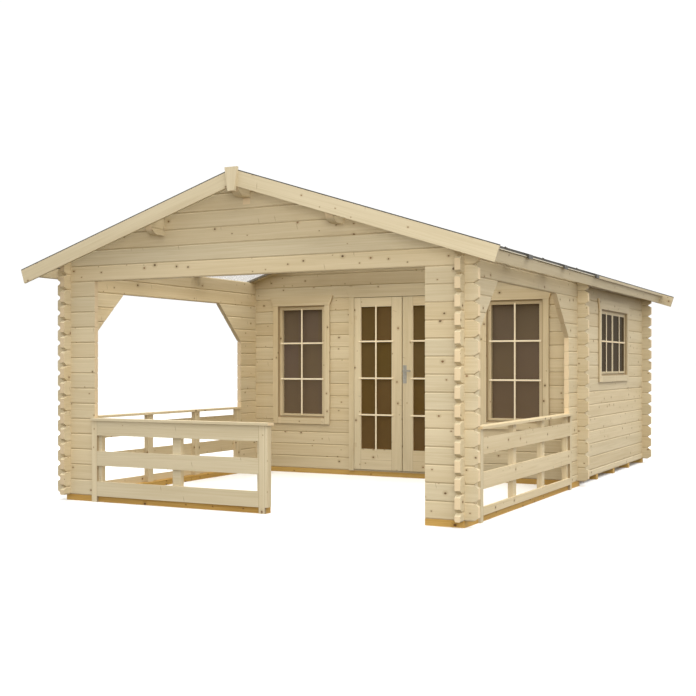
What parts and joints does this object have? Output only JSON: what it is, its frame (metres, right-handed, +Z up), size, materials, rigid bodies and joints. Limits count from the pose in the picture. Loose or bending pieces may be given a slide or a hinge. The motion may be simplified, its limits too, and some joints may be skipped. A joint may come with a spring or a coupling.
{
  "type": "garden house",
  "caption": "Log garden house of pale spruce with a glazed-roof veranda, timber railings, a double glazed door and small-paned windows under a felted gable roof.",
  "frame": {"origin": "middle of the building's outline at ground level", "axes": "+Z up, +Y from the veranda to the rear wall, +X to the right for someone who faces the veranda"},
  "size_m": [4.31, 6.328, 2.6805],
  "materials": {
    "spruce": "untreated planed spruce",
    "impregnated_timber": "impregnated sawn timber",
    "window_glass": "clear",
    "roof_sheet": "clear twin-wall sheet",
    "glazing_bar": "satin dark",
    "roof_felt": "mineral felt",
    "steel": "satin"
  },
  "bodies": {
    "house": {"door_frame": "spruce", "door_frame_hinges": "steel", "eave_boards": "spruce", "floor_joists": "impregnated_timber", "front_gable": "spruce", "front_railing": "spruce", "glazing_bars": "glazing_bar", "left_front_bargeboard": "spruce", "left_front_leg": "spruce", "left_glazing": "roof_sheet", "left_rear_bargeboard": "spruce", "left_roof_boards": "spruce", "left_room_front": "spruce", "left_room_wall": "spruce", "left_side_leg": "spruce", "left_wall_plate": "spruce", "left_window_frame": "spruce", "rear_wall": "spruce", "ridge_blocks": "spruce", "ridge_purlin": "spruce", "right_front_bargeboard": "spruce", "right_front_leg": "spruce", "right_glazing": "roof_sheet", "right_rear_bargeboard": "spruce", "right_roof_boards": "spruce", "right_room_front": "spruce", "right_room_wall": "spruce", "right_side_leg": "spruce", "right_wall_plate": "spruce", "right_window_frame": "spruce", "roof_felt": "roof_felt", "room_floor": "spruce", "room_front_gable": "spruce", "side_purlins": "spruce", "side_railings": "spruce", "side_window_frame": "spruce", "veranda_sills": "impregnated_timber", "window_glass": "window_glass"},
    "left_door": {"left_door": "spruce", "left_door_glass": "window_glass", "left_door_hinges": "steel"},
    "right_door": {"right_door": "spruce", "right_door_glass": "window_glass", "right_door_hinges": "steel", "door_handle": "steel"}
  },
  "joints": [
    {"name": "left_door_hinge", "type": "hinge", "parent": "house", "child": "left_door", "pos_m": [-0.5545, 0.037, 0.95], "axis": [0, 0, -1], "range_deg": [0, 110]},
    {"name": "right_door_hinge", "type": "hinge", "parent": "house", "child": "right_door", "pos_m": [0.5545, 0.037, 0.95], "axis": [0, 0, 1], "range_deg": [0, 110]}
  ]
}
